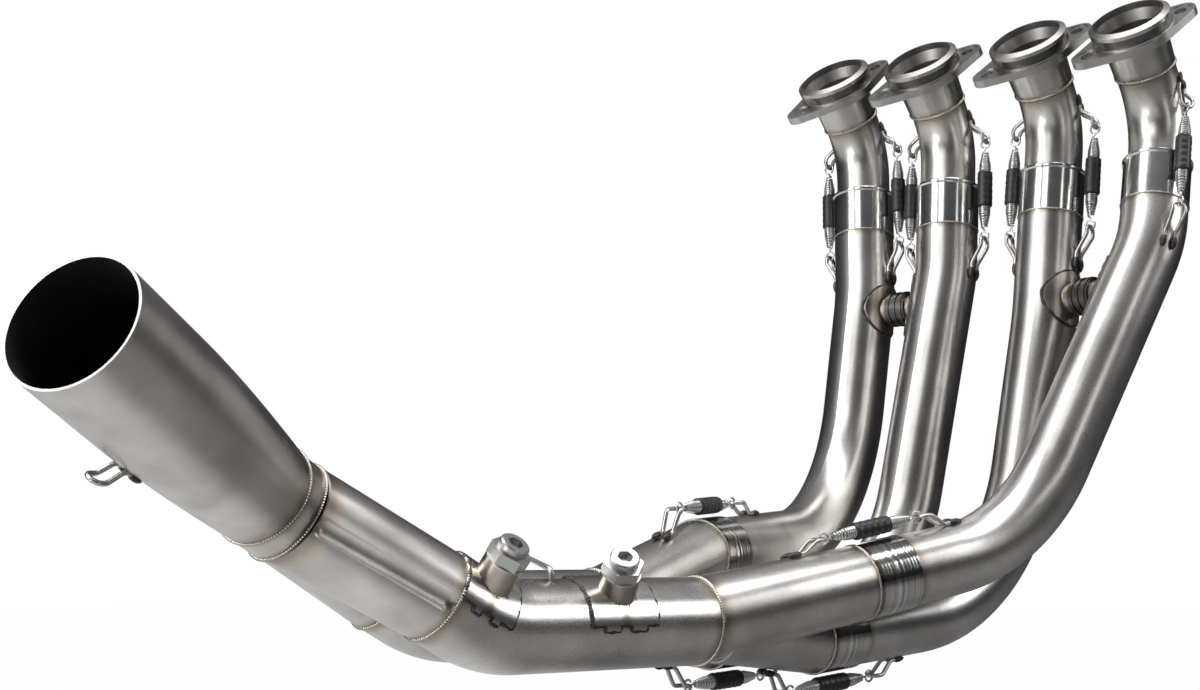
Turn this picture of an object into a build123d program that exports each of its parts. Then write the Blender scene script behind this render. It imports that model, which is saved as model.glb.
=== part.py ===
from build123d import *
import math
import os

# Four-into-two-into-one exhaust header for an inline four motorcycle engine.
# +X is the front of the bike, +Y its left, +Z up. The origin is the middle of the row of
# port mouths. Pipe 1 is the leftmost port and pipe 4 the rightmost. Millimetres.

# Row of ports
pitch_outer = 75.0
pitch_middle = 86.0
port_tilt = 40.0

# Turned port stubs
mouth_bore = 48.0
mouth_bore_depth = 5.0
lip_width = 3.75
lip_bevel = 2.0
lip_height = 2.6
shoulder_width = 2.5
neck_length = 7.6
stub_wall = 1.6
stub_length = 40.0
stub_taper = 1.2
toe_round = 3.0

# Two-eared port flanges
plate_thickness = 5.5
boss_height = 7.5
boss_relief = 1.9
boss_ledge = 1.5
post_width = 17.0
flange_body_radius = 28.5
stud_pcd = 70.0
stud_hole = 8.5
ear_radius = 10.5
spot_face_depth = 0.8
spot_face_radius = 8.5
flange_clearance = 0.3
flange_clock = {1: 56.0, 2: 44.0, 3: 42.0, 4: 42.0}

# Upper pipes and slip joints
upper_diameter = 40.0
upper_wall = 1.2
upper_bend_radius = 55.0
port_run = {1: 66.3, 2: 66.0, 3: 67.0, 4: 78.0}
joint_lean = {1: -0.15, 2: -0.15, 3: -0.18, 4: -0.34}
joint_side = {1: -0.09, 2: -0.04, 3: 0.0, 4: -0.04}
joint_drop = {1: 38.0, 2: 41.0, 3: 41.0, 4: 37.0}
slip_clearance = 0.1
sleeve_length = 34.0
sleeve_wall = 2.5
sleeve_bead = 1.0
sleeve_spigot = 8.0
insertion = 22.0

# Primary pipes
primary_diameter = 44.5
primary_wall = 1.2
knee_drop = {1: 121.0, 2: 108.0, 3: 148.0, 4: 97.0}
knee_radius = {1: 150.0, 2: 110.0, 3: 150.0, 4: 115.0}
elbow_radius = {1: 115.0, 2: 112.0, 3: 112.0, 4: 120.0}
elbow_x = {1: 1.0, 2: -21.0, 3: 5.0, 4: -70.0}
elbow_side = {1: 90.5, 2: 36.4, 3: -39.8, 4: -90.4}
elbow_lift = {1: 51.8, 2: -2.4, 3: 3.8, 4: 45.4}

# Two-into-one collectors under the engine
secondary_diameter = 50.5
secondary_wall = 1.2
run_yaw = 12.0
run_z = -399.0
near_x = -300.0
near_y = 26.0
run_length = 147.0
secondary_gap = 1.5
far_setback = 34.0
far_lift = 4.0
inlet_forward = {1: 78.0, 2: 78.0, 3: 113.0, 4: 113.0}
inlet_side = {1: 56.7, 2: 49.0, 3: -3.8, 4: -40.5}
inlet_lift = {1: 36.6, 2: -10.7, 3: -13.2, 4: 20.6}
lower_sleeve_length = 32.0
lower_sleeve_wall = 1.1
collector_step = 0.6
merge_step = 0.5
merge_depth = 14.0
merge_reach = 12.0

# Final collector, mitred ring and outlet cone
collector_rise = 29.4
secondary_bend_radius = 70.0
secondary_tail = 35.0
collector_length = 83.5
collector_outlet = 55.0
valley_radius = 9.0
valley_depth = 1.8
valley_angle = -13.0
valley_start = 6.0
valley_length = 70.0
ring_length = 18.0
outlet_yaw = 18.8
outlet_rise = 23.9
cone_length = 170.0
mouth_diameter = 67.6
mouth_straight = 58.0
outlet_wall = 1.3

# Sensor bosses, with a saddle plate, a bung and a plug each
plug_hex = 20.0
plug_hex_height = 7.0
plug_collar = 22.0
plug_collar_height = 1.5
plug_crown = 16.5
plug_crown_height = 4.5
plug_socket = 8.0
plug_socket_depth = 4.0
plug_thread = 17.8
plug_thread_length = 10.0
bung_bore = 18.0
bung_diameter = 22.0
bung_height = 13.0
boss_angle = 48.0
boss_lean = 16.0
near_boss_along = 71.0
far_boss_along = 17.5
saddle_thickness = 1.5
saddle_length = {"near": 45.0, "far": 34.0}
saddle_low = -6.0
saddle_high = 92.0
saddle_teeth = 3
tooth_width = 8.5
tooth_depth = 3.0

# Crossover tubes between pipes 1 and 2, and 3 and 4
crossover_z = {"far": -181.0, "near": -186.0}
crossover_diameter = 20.0
crossover_wall = 1.2
coupling_diameter = 24.0
coupling_length = 16.0
coupling_ribs = 3
rib_height = 0.8
rib_width = 2.4
collar_thickness = 1.3
collar_radius = 19.0
pad_width = 26.0
pad_height = 46.0
pad_corner = 5.0
pad_slot_length = 14.0
pad_slot_width = 3.5
pad_slot_offset = 17.0

# Springs, their rubber dampers and the bent wire hooks
spring_diameter = 8.6
spring_tip = 5.0
spring_wire = 1.4
spring_span = 74.0
spring_coil = 38.0
spring_cone = 10.0
spring_offset = 30.6
spring_below_joint = 7.0
eye_diameter = 6.8
damper_diameter = 11.0
damper_length = 27.0
hook_wire = 3.0
hook_spread = 11.0
hook_rise = 7.0
hook_run = 18.0
hook_bend = 4.0
hook_seat = 0.015
lower_offset = 31.0
lower_shift = 0.0
spring_side = {1: 90.0, 2: 90.0, 3: 90.0, 4: 54.0}
outlet_hook_along = 108.0
outlet_hook_height = 10.0
brace_along = 108.0
brace_wire = 3.0

port_y = {
    1: pitch_middle / 2 + pitch_outer,
    2: pitch_middle / 2,
    3: -pitch_middle / 2,
    4: -pitch_middle / 2 - pitch_outer,
}
upper_r = upper_diameter / 2
primary_r = primary_diameter / 2
secondary_r = secondary_diameter / 2
mouth_r = mouth_bore / 2
lip_r = mouth_r + lip_width
shoulder_z = -(lip_bevel + lip_height)
neck_r = lip_r - shoulder_width
stub_end_r = upper_r + 1.0
stub_mid_r = stub_end_r + stub_taper
neck_z = shoulder_z - neck_length
stub_end_z = -stub_length
pair_spacing = secondary_diameter + secondary_gap

parts = {}


def unit(vector):
    return Vector(vector).normalized()


def round_bar(points, radii, radius):
    line = FilletPolyline(*points, radius=radii)
    start = Plane(line @ 0, z_dir=line % 0)
    return sweep(start * Circle(radius), path=line)


def pipe(points, radii, radius, wall):
    line = FilletPolyline(*points, radius=radii)
    start = Plane(line @ 0, z_dir=line % 0)
    return sweep(start * (Circle(radius) - Circle(radius - wall)), path=line)


def bar(start, end, radius):
    axis = Vector(end) - Vector(start)
    plane = Plane(Vector(start), z_dir=axis)
    return extrude(plane * Circle(radius), amount=axis.length)


def tube(start, end, radius, inner):
    axis = Vector(end) - Vector(start)
    plane = Plane(Vector(start), z_dir=axis)
    return extrude(plane * (Circle(radius) - Circle(inner)), amount=axis.length)


def half_section(points):
    face = make_face(Plane.XZ * Polyline(*points, close=True))
    return revolve(face, Axis.Z)


# Port frames: local -Z runs into the pipe and local X lies along the flange's ears.
tilt = math.radians(port_tilt)
port_axis = Vector(-math.sin(tilt), 0, math.cos(tilt))
in_port = -port_axis
port_rise = Vector(math.cos(tilt), 0, math.sin(tilt))
port_frame = {}
flange_frame = {}
for k, y in port_y.items():
    port_frame[k] = Plane((0, y, 0), x_dir=(0, -1, 0), z_dir=port_axis)
    clock = math.radians(flange_clock[k])
    ear_dir = Vector(0, -1, 0) * math.cos(clock) + port_rise * math.sin(clock)
    flange_frame[k] = Plane((0, y, 0), x_dir=ear_dir, z_dir=port_axis)


# Turned stub: bevelled lip, bell mouth, tapering neck and a rounded toe
def port_stub():
    bore_end_r = stub_mid_r - stub_wall
    toe_r = upper_r - upper_wall
    return half_section(
        [
            (mouth_r, 0),
            (lip_r, -lip_bevel),
            (lip_r, shoulder_z),
            (neck_r, shoulder_z),
            (stub_mid_r, neck_z),
            (stub_end_r, stub_end_z + toe_round),
            (stub_end_r - 0.3, stub_end_z + toe_round / 3),
            (upper_r, stub_end_z),
            (toe_r, stub_end_z),
            (stub_end_r - stub_wall, stub_end_z + toe_round),
            (bore_end_r, neck_z),
            (mouth_r, -mouth_bore_depth),
        ]
    )


# Flange: hull-shaped plate, boss with two posts at the ears, and spot-faced stud holes
def port_flange():
    top = shoulder_z - boss_height
    ears = [Pos(side * stud_pcd / 2, 0) * Circle(ear_radius) for side in (-1, 1)]
    outline = make_hull((Circle(flange_body_radius) + ears[0] + ears[1]).edges())
    plate = extrude(Pos(0, 0, top - plate_thickness) * outline, amount=plate_thickness)
    boss = Pos(0, 0, top) * extrude(Circle(lip_r - 0.3), amount=boss_height)
    waist = Pos(0, 0, top + boss_ledge) * extrude(
        Circle(lip_r * 2) - Circle(lip_r - boss_relief), amount=boss_height
    )
    keep = Pos(0, 0, top) * Box(
        lip_r * 4, post_width, boss_height * 3, align=(Align.CENTER, Align.CENTER, Align.CENTER)
    )
    body = plate + (boss - (waist - keep))
    for side in (-1, 1):
        body -= Pos(side * stud_pcd / 2, 0, top) * Cylinder(stud_hole / 2, plate_thickness * 4)
        spot = Pos(side * stud_pcd / 2, 0, top - spot_face_depth)
        body -= spot * extrude(Circle(spot_face_radius), amount=spot_face_depth * 2) - boss
    clear = flange_clearance
    bore = half_section(
        [
            (0, shoulder_z + 1),
            (neck_r + clear, shoulder_z + 1),
            (neck_r + clear, shoulder_z),
            (stub_mid_r + clear, neck_z),
            (stub_mid_r + clear, top - plate_thickness - 1),
            (0, top - plate_thickness - 1),
        ]
    )
    return body - bore


stub = port_stub()
flange = port_flange()
for k in port_y:
    parts[f"port_stub_{k}"] = port_frame[k] * stub
    parts[f"port_flange_{k}"] = flange_frame[k] * flange

# The two secondaries run back side by side, then climb into the final collector
swing = math.radians(run_yaw)
rise = math.radians(collector_rise)
run_dir = Vector(-math.cos(swing), math.sin(swing), 0)
side_dir = Vector(math.sin(swing), math.cos(swing), 0)
up = Vector(0, 0, 1)
climb_dir = run_dir * math.cos(rise) + up * math.sin(rise)
top_dir = up * math.cos(rise) - run_dir * math.sin(rise)
run_start = {"near": Vector(near_x, near_y, run_z)}
run_start["far"] = run_start["near"] + side_dir * pair_spacing + run_dir * far_setback + up * far_lift
corner = {"near": run_start["near"] + run_dir * run_length}
corner["far"] = corner["near"] + side_dir * pair_spacing + up * far_lift

# Where each pipe's slip joint lies, and the collector inlet that it runs to
upper_corner = {}
joint_dir = {}
joint = {}
inlet = {}
elbow = {}
inlet_dir = {}
for k, y in port_y.items():
    mouth = Vector(0, y, 0)
    upper_corner[k] = mouth + in_port * port_run[k]
    joint_dir[k] = unit((joint_lean[k], joint_side[k], -1))
    joint[k] = upper_corner[k] + joint_dir[k] * joint_drop[k]
    inlet[k] = run_start["near"] + Vector(inlet_forward[k], inlet_side[k], inlet_lift[k])
    elbow[k] = Vector(elbow_x[k], near_y + elbow_side[k], run_z + elbow_lift[k])
    inlet_dir[k] = unit(inlet[k] - elbow[k])

envelope = {}
upper_envelope = {}
primary_route = {}
for k in port_y:
    begin = Vector(0, port_y[k], 0) + in_port * stub_length
    end = joint[k] + joint_dir[k] * insertion
    route = [begin, upper_corner[k], end]
    parts[f"upper_pipe_{k}"] = pipe(route, [upper_bend_radius], upper_r, upper_wall)
    upper_envelope[k] = round_bar(route, [upper_bend_radius], upper_r)

    # Machined slip sleeve welded to the top of the primary
    sleeve_end = sleeve_length
    bore = upper_r + slip_clearance
    outer = bore + sleeve_wall
    pipe_bore = primary_r - primary_wall
    stop = insertion + slip_clearance
    sleeve = half_section(
        [
            (bore, 0),
            (outer - 0.4, 0),
            (outer + sleeve_bead, -1.2),
            (outer + sleeve_bead, -2.6),
            (outer, -3.6),
            (outer, -sleeve_end),
            (pipe_bore - 0.05, -sleeve_end),
            (pipe_bore - 0.05, -sleeve_end - sleeve_spigot),
            (pipe_bore - 1.2, -sleeve_end - sleeve_spigot),
            (pipe_bore - 1.2, -stop),
            (bore, -stop),
        ]
    )
    parts[f"slip_sleeve_{k}"] = Plane(joint[k], z_dir=-joint_dir[k]) * sleeve

    top = joint[k] + joint_dir[k] * sleeve_end
    knee = upper_corner[k] + joint_dir[k] * knee_drop[k]
    tail = inlet[k] - inlet_dir[k] * slip_clearance
    route = [top, knee, elbow[k], tail]
    radii = [knee_radius[k], elbow_radius[k]]
    primary_route[k] = (route, radii)
    parts[f"primary_pipe_{k}"] = pipe(route, radii, primary_r, primary_wall)
    envelope[k] = round_bar(route, radii, primary_r)

    # Lower slip sleeve: its bore takes the primary's end and it is welded to the collector
    bore = primary_r + slip_clearance
    start = inlet[k] - inlet_dir[k] * lower_sleeve_length
    parts[f"collector_sleeve_{k}"] = tube(start, inlet[k], bore + lower_sleeve_wall, bore)


# Two branches that plunge into one outlet, with the wall kept even inside
def branch(start, start_dir, start_r, end, end_dir, end_r):
    first = Plane(start, x_dir=up.cross(start_dir), z_dir=start_dir) * Circle(start_r)
    last = Plane(end, x_dir=up.cross(end_dir), z_dir=end_dir) * Circle(end_r)
    return loft([first, last])


def merging_branches(ins, in_r, out, out_dir, out_r, wall):
    outers = []
    voids = []
    for number, (point, direction) in enumerate(ins):
        back = out - out_dir * (merge_depth * number)
        end_r = out_r - merge_step * number
        outers.append(branch(point, direction, in_r, back, out_dir, end_r))
        voids.append(branch(point, direction, in_r - wall, back, out_dir, end_r - wall))
    return outers, voids


def merged_shell(outers, voids):
    first = outers[0] - voids[0] - voids[1]
    second = outers[1] - voids[1] - voids[0]
    return first + second


collector_in_r = primary_r + collector_step
collector_env = {}
for name, first, second in (("near", 4, 3), ("far", 1, 2)):
    ins = [(inlet[first], inlet_dir[first]), (inlet[second], inlet_dir[second])]
    outers, voids = merging_branches(
        ins, collector_in_r, run_start[name], run_dir, secondary_r, secondary_wall
    )
    collector_env[name] = outers
    parts[f"{name}_collector"] = merged_shell(outers, voids)

secondary_env = {}
final_in = []
for name in ("near", "far"):
    end = corner[name] + climb_dir * secondary_tail
    route = [run_start[name], corner[name], end]
    parts[f"{name}_secondary"] = pipe(route, [secondary_bend_radius], secondary_r, secondary_wall)
    secondary_env[name] = round_bar(route, [secondary_bend_radius], secondary_r)
    final_in.append((end, climb_dir))

collector_out = (final_in[0][0] + final_in[1][0]) * 0.5 + climb_dir * collector_length
outlet_r = collector_outlet / 2
merge_end = collector_out + climb_dir * merge_reach
outers, voids = merging_branches(
    final_in, secondary_r, merge_end, climb_dir, outlet_r, secondary_wall
)
solid = outers[0] + outers[1]
void = voids[0] + voids[1]


# A shallow pressed valley along the right flank, rounded at both ends
def capsule(start, end, radius):
    reach = (end - start).length
    half = radius * math.sin(math.radians(45))
    edge = Line((0, -radius), (0, reach + radius))
    edge += ThreePointArc((0, reach + radius), (half, reach + half), (radius, reach))
    edge += Line((radius, reach), (radius, 0))
    edge += ThreePointArc((radius, 0), (half, -half), (0, -radius))
    return Plane(start, z_dir=end - start) * revolve(make_face(Plane.XZ * edge), Axis.Z)


flank = math.radians(valley_angle)
valley_dir = top_dir * math.sin(flank) - side_dir * math.cos(flank)
valley_line = []
branch_run = merge_end - final_in[0][0]
for along in (valley_start, valley_start + valley_length):
    share = 1 - along / collector_length
    skin = secondary_r + (outlet_r - secondary_r) * share
    centre = final_in[0][0] + branch_run * (share * collector_length / (collector_length + merge_reach))
    valley_line.append(centre + valley_dir * (skin + valley_radius - valley_depth))
groove = capsule(valley_line[0], valley_line[1], valley_radius)
inner_groove = capsule(valley_line[0], valley_line[1], valley_radius + secondary_wall)

# Mitre planes at both ends of the short ring
yaw = math.radians(outlet_yaw)
climb = math.radians(outlet_rise)
out_dir = Vector(-math.cos(yaw) * math.cos(climb), -math.sin(yaw) * math.cos(climb), math.sin(climb))
ring_dir = unit(climb_dir + out_dir)
ring_end = collector_out + ring_dir * ring_length
mitre_in = unit(climb_dir + ring_dir)
mitre_out = unit(ring_dir + out_dir)
block = mouth_diameter * 2


def beyond(point, direction):
    face = Plane(point, z_dir=direction) * Rectangle(block, block)
    return extrude(face, amount=block)


shell = (solid - groove) - (void - inner_groove)
parts["final_collector"] = shell - beyond(collector_out, mitre_in)

overrun = ring_length * 0.8
ring = tube(
    collector_out - ring_dir * overrun,
    ring_end + ring_dir * overrun,
    outlet_r,
    outlet_r - secondary_wall,
)
ring -= beyond(collector_out, -mitre_in)
ring -= beyond(ring_end, mitre_out)
parts["mitre_ring"] = ring

# Outlet: cone that eases into a straight mouth
cone_frame = Plane(ring_end, x_dir=side_dir, z_dir=out_dir)
cone_slope = (mouth_diameter / 2 - outlet_r) / (cone_length - mouth_straight) * 1.6


def outlet_profile(inset):
    small = (outlet_r - inset, 0)
    large = (mouth_diameter / 2 - inset, cone_length - mouth_straight)
    foot = (outlet_r - inset - cone_slope * overrun, -overrun)
    tip = (mouth_diameter / 2 - inset, cone_length)
    edge = Line(foot, small)
    edge += Spline(small, large, tangents=[(cone_slope, 1), (0, 1)])
    edge += Polyline(large, tip, (0, cone_length), (0, -overrun), foot)
    return revolve(make_face(Plane.XZ * edge), Axis.Z)


cone = outlet_profile(0) - outlet_profile(outlet_wall)
parts["outlet_cone"] = (cone_frame * cone) - beyond(ring_end, -mitre_out)
outlet_envelope = cone_frame * outlet_profile(0)
outlet_mouth = ring_end + out_dir * cone_length


# Sensor boss: plate pressed round the pipe, notched low edge, leaning bung and hexagon plug
def sensor_boss(name, centre, along, lift_dir):
    angle = math.radians(boss_angle)
    lean = math.radians(boss_lean)
    radial = lift_dir * math.sin(angle) - side_dir * math.cos(angle)
    axis = radial * math.cos(lean) + along * math.sin(lean)
    foot = centre + radial * secondary_r
    carrier = secondary_env["near"]
    length = saddle_length[name]

    route = [run_start["near"], corner["near"], final_in[0][0]]
    skin_r = secondary_r + saddle_thickness
    skin = pipe(route, [secondary_bend_radius], skin_r, saddle_thickness)
    frame = Plane(centre - along * (length / 2), x_dir=-side_dir, z_dir=along)
    low = math.radians(saddle_low)
    high = math.radians(saddle_high)
    middle = (low + high) / 2
    flip = 1 if frame.y_dir.dot(lift_dir) > 0 else -1
    reach = secondary_diameter * 2
    wedge = Polyline(
        (0, 0),
        (reach * math.cos(low), flip * reach * math.sin(low)),
        (reach * math.cos(middle), flip * reach * math.sin(middle)),
        (reach * math.cos(high), flip * reach * math.sin(high)),
        close=True,
    )
    skin = skin & extrude(frame * make_face(wedge), amount=length)
    edge_dir = lift_dir * math.sin(low) - side_dir * math.cos(low)
    for tooth in range(saddle_teeth):
        place = (tooth - (saddle_teeth - 1) / 2) * (length - tooth_width) / (saddle_teeth - 1)
        notch = Plane(centre + along * place, x_dir=along, z_dir=edge_dir)
        skin -= extrude(notch * Rectangle(tooth_width, tooth_depth * 2), amount=reach)

    top = foot + axis * bung_height
    bung = bar(foot - axis * bung_height, top, bung_diameter / 2) - carrier
    hole = bar(foot - axis * bung_height, top + axis, bung_bore / 2)
    parts[f"lambda_saddle_{name}"] = skin - bar(foot - axis * reach, top, bung_diameter / 2)
    parts[f"lambda_bung_{name}"] = bung - hole
    parts["near_secondary"] -= bar(foot - axis * bung_height, top, bung_bore / 2)

    plug_frame = Plane(top, x_dir=side_dir, z_dir=axis)
    body = Pos(0, 0, -plug_thread_length) * extrude(Circle(plug_thread / 2), amount=plug_thread_length)
    body += extrude(Circle(plug_collar / 2), amount=plug_collar_height)
    hexagon = RegularPolygon(plug_hex / 2, 6, major_radius=False)
    body += Pos(0, 0, plug_collar_height) * extrude(hexagon, amount=plug_hex_height)
    crown_z = plug_collar_height + plug_hex_height
    crown = Pos(0, 0, crown_z) * extrude(Circle(plug_crown / 2), amount=plug_crown_height)
    body += chamfer(crown.edges().sort_by(Axis.Z)[-1], 0.8)
    socket = RegularPolygon(plug_socket / 2, 6, major_radius=False)
    socket_z = crown_z + plug_crown_height - plug_socket_depth
    body -= Pos(0, 0, socket_z) * extrude(socket, amount=plug_socket_depth * 2)
    parts[f"lambda_plug_{name}"] = plug_frame * body


near_boss = run_start["near"] + run_dir * near_boss_along
far_boss = corner["near"] + climb_dir * far_boss_along
sensor_boss("near", near_boss, run_dir, up)
sensor_boss("far", far_boss, climb_dir, top_dir)


# Crossovers: a wrapped T saddle on one pipe, a slotted pad on the other, a ribbed coupling between
def at_height(k, z):
    route, radii = primary_route[k]
    line = FilletPolyline(*route, radius=radii)
    low = 0.0
    high = 0.6
    for step in range(30):
        share = (low + high) / 2
        if (line @ share).Z > z:
            low = share
        else:
            high = share
    return line @ low, line % low


def crossover(name, first, second):
    a, first_down = at_height(first, crossover_z[name])
    b, second_down = at_height(second, crossover_z[name])
    across = unit(b - a)
    middle = (a + b) * 0.5
    tube_r = crossover_diameter / 2
    for k, centre, towards, down in ((first, a, across, first_down), (second, b, -across, second_down)):
        route, radii = primary_route[k]
        skin = pipe(route, radii, primary_r + collar_thickness, collar_thickness)
        face = Plane(centre, x_dir=down - towards * down.dot(towards), z_dir=towards)
        if k in (1, 3):
            outline = Circle(collar_radius)
        else:
            outline = RectangleRounded(pad_height, pad_width, pad_corner)
            for side in (-1, 1):
                slot = Rot(0, 0, 90) * SlotOverall(pad_slot_length, pad_slot_width)
                outline -= Pos(side * pad_slot_offset, 0) * slot
        pad = skin & extrude(face * outline, amount=primary_diameter)
        gap = slip_clearance
        neck_end = middle - towards * (gap / 2)
        neck = bar(centre, neck_end, tube_r) - envelope[k]
        saddle = pad + neck
        saddle -= bar(centre, neck_end + towards, tube_r - crossover_wall)
        parts[f"crossover_saddle_{k}"] = saddle
        parts[f"primary_pipe_{k}"] -= bar(centre, neck_end, tube_r - crossover_wall)
    start = middle - across * (coupling_length / 2)
    end = middle + across * (coupling_length / 2)
    sleeve = tube(start, end, coupling_diameter / 2, tube_r)
    pitch = coupling_length / coupling_ribs
    for rib in range(coupling_ribs):
        place = start + across * (pitch * (rib + 0.5))
        half = across * (rib_width / 2)
        sleeve += tube(place - half, place + half, coupling_diameter / 2 + rib_height, tube_r)
    parts[f"crossover_coupling_{name}"] = sleeve


crossover("far", 1, 2)
crossover("near", 3, 4)


# Bent wire hook: its bar lies across at the tip, and both legs run back into the carrier
def wire_hook(tip, back_dir, foot, cross):
    half = cross * (hook_spread / 2)
    shoulder = tip + back_dir * hook_rise
    line = FilletPolyline(
        foot - half,
        shoulder - half,
        tip - half,
        tip + half,
        shoulder + half,
        foot + half,
        radius=[hook_bend * 0.6, hook_bend, hook_bend, hook_bend * 0.6],
    )
    start = Plane(line @ 0, z_dir=line % 0)
    return sweep(start * Circle(hook_wire / 2), path=line)


# Tension spring between two hook bars: closed coil, conical ends and a round eye at each end
def spring(first, last, cross):
    axis = unit(last - first)
    span = (last - first).length
    wire_r = spring_wire / 2
    eye_r = eye_diameter / 2
    eye_shift = eye_r - wire_r - hook_wire / 2 + hook_seat
    coil_r = spring_diameter / 2
    tip_r = spring_tip / 2
    half = spring_coil / 2
    face = make_face(
        Plane.XZ
        * Polyline(
            (0, -half - spring_cone),
            (tip_r, -half - spring_cone),
            (coil_r, -half),
            (coil_r, half),
            (tip_r, half + spring_cone),
            (0, half + spring_cone),
            close=True,
        )
    )
    middle = (first + last) * 0.5
    body = Plane(middle, z_dir=axis) * revolve(face, Axis.Z)
    for end, inward in ((first, axis), (last, -axis)):
        centre = end + inward * eye_shift
        body += Plane(centre, z_dir=cross) * Torus(eye_r, wire_r)
        body += bar(centre + inward * (eye_r + 0.1), middle - inward * half, wire_r * 0.85)
    return body


def damper(first, last):
    axis = unit(last - first)
    middle = (first + last) * 0.5
    half = axis * (damper_length / 2)
    return tube(middle - half, middle + half, damper_diameter / 2, spring_diameter / 2)


dampers = []
hooks = {}
lower_springs = {}
lower_hooks = {}
for k in port_y:
    coils = []
    wires = []
    axis = joint_dir[k]
    bearing = math.radians(spring_side[k])
    for sign in (1, -1):
        plan = Vector(math.cos(bearing), math.sin(bearing), 0) * sign
        radial = unit(plan - axis * plan.dot(axis))
        cross = axis.cross(radial)
        middle = joint[k] + axis * spring_below_joint + radial * spring_offset
        top = middle - axis * (spring_span / 2)
        bottom = middle + axis * (spring_span / 2)
        coils.append(spring(top, bottom, cross))
        dampers.append(damper(top, bottom))
        root = upper_corner[k] - in_port * (hook_run * 0.6)
        wires.append(wire_hook(top, -axis, root, cross))
        root = joint[k] + axis * (spring_below_joint + spring_span / 2 + hook_run)
        wires.append(wire_hook(bottom, axis, root, cross))
    body = Compound(children=coils)
    parts[f"joint_springs_{k}"] = body
    pieces = []
    for number, wire in enumerate(wires):
        carrier = upper_envelope[k] if number % 2 == 0 else envelope[k]
        pieces.append(wire - carrier)
    hooks[k] = pieces

# Lower joints: one spring each, on top of pipes 1 and 4 and below pipes 2 and 3
for k in port_y:
    name = "near" if k > 2 else "far"
    axis = inlet_dir[k]
    out = up if k in (1, 4) else -up
    radial = unit(out - axis * out.dot(axis))
    cross = axis.cross(radial)
    middle = inlet[k] + axis * (lower_shift - lower_sleeve_length / 2) + radial * lower_offset
    first = middle - axis * (spring_span / 2)
    last = middle + axis * (spring_span / 2)
    lower_springs.setdefault(name, []).append(spring(first, last, cross))
    dampers.append(damper(first, last))
    root = first - axis * hook_run - radial * lower_offset
    hooks[k].append(wire_hook(first, -axis, root, cross) - envelope[k])
    root = last + axis * hook_run - radial * lower_offset
    wire = wire_hook(last, axis, root, cross)
    lower_hooks.setdefault(name, []).append(wire)

for name in ("near", "far"):
    first, second = collector_env[name]
    parts[f"collector_springs_{name}"] = Compound(children=lower_springs[name])
    parts[f"collector_hooks_{name}"] = Compound(
        children=[wire - first - second for wire in lower_hooks[name]]
    )
for k in port_y:
    parts[f"spring_hooks_{k}"] = Compound(children=hooks[k])
parts["spring_dampers"] = Compound(children=dampers)

# Two hooks for the silencer's springs, above and below the outlet
up_out = unit(up - out_dir * up.dot(out_dir))
outlet_wires = []
for sign in (1, -1):
    radial = up_out * sign
    tip = ring_end + out_dir * outlet_hook_along + radial * (mouth_diameter / 2 + outlet_hook_height)
    root = ring_end + out_dir * (outlet_hook_along - hook_run)
    outlet_wires.append(wire_hook(tip, -out_dir, root, out_dir.cross(radial)) - outlet_envelope)
parts["outlet_hooks"] = Compound(children=outlet_wires)

# Bent brace rod welded across the tops of the two secondaries
place = run_start["near"] + run_dir * brace_along
over = up * (secondary_r + brace_wire * 2.2)
brace = FilletPolyline(
    place - side_dir * (secondary_r * 0.3),
    place - side_dir * (secondary_r * 0.3) + over * 0.95,
    place + side_dir * (secondary_r * 0.5) + over + up * far_lift,
    place + side_dir * (pair_spacing - brace_wire * 2) + over + up * far_lift,
    place + side_dir * (pair_spacing - brace_wire * 2),
    radius=brace_wire * 1.4,
)
start = Plane(brace @ 0, z_dir=brace % 0)
rod = sweep(start * Circle(brace_wire / 2), path=brace)
parts["secondary_strap"] = rod - secondary_env["near"] - secondary_env["far"]

os.makedirs("parts", exist_ok=True)
for name, shape in parts.items():
    shape.label = name
    export_step(shape, f"parts/{name}.step")
print(len(parts), "nodes")
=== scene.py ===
import math
import bmesh
import bpy
from mathutils import Matrix, Vector


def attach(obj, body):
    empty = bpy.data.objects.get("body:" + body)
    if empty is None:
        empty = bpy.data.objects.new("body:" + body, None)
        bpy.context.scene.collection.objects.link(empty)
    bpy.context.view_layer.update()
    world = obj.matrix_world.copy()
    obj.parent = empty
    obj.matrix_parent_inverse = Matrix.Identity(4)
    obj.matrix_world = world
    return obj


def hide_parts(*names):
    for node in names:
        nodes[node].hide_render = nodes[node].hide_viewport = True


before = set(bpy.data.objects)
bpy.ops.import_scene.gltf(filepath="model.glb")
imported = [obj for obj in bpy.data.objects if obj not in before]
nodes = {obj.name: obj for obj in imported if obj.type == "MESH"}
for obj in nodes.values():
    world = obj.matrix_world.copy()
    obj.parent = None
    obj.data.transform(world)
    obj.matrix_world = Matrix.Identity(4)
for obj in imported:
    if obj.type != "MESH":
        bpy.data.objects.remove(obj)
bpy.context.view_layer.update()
scene = bpy.context.scene
scene.view_settings.view_transform = "Standard"

# The picture is taken from low on the outlet side, a little below the run of
# the collectors, so the ports stand at the upper right and the cone comes forward.
right = Vector((0.6418, -0.7669, 0.0)).normalized()
ahead = Vector((0.7621, 0.6378, 0.1113)).normalized()
above = right.cross(ahead)
stand = (-1.1393, -0.6054, -0.3564)
camera_data = bpy.data.cameras.new("camera")
camera = bpy.data.objects.new("camera", camera_data)
scene.collection.objects.link(camera)
camera_data.lens = 54.0
camera_data.sensor_width = 36.0
camera_data.clip_start = 0.05
camera_data.clip_end = 60.0
looking = Matrix((right, above, -ahead)).transposed().to_4x4()
camera.matrix_world = Matrix.Translation(stand) @ looking
scene.camera = camera

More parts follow.
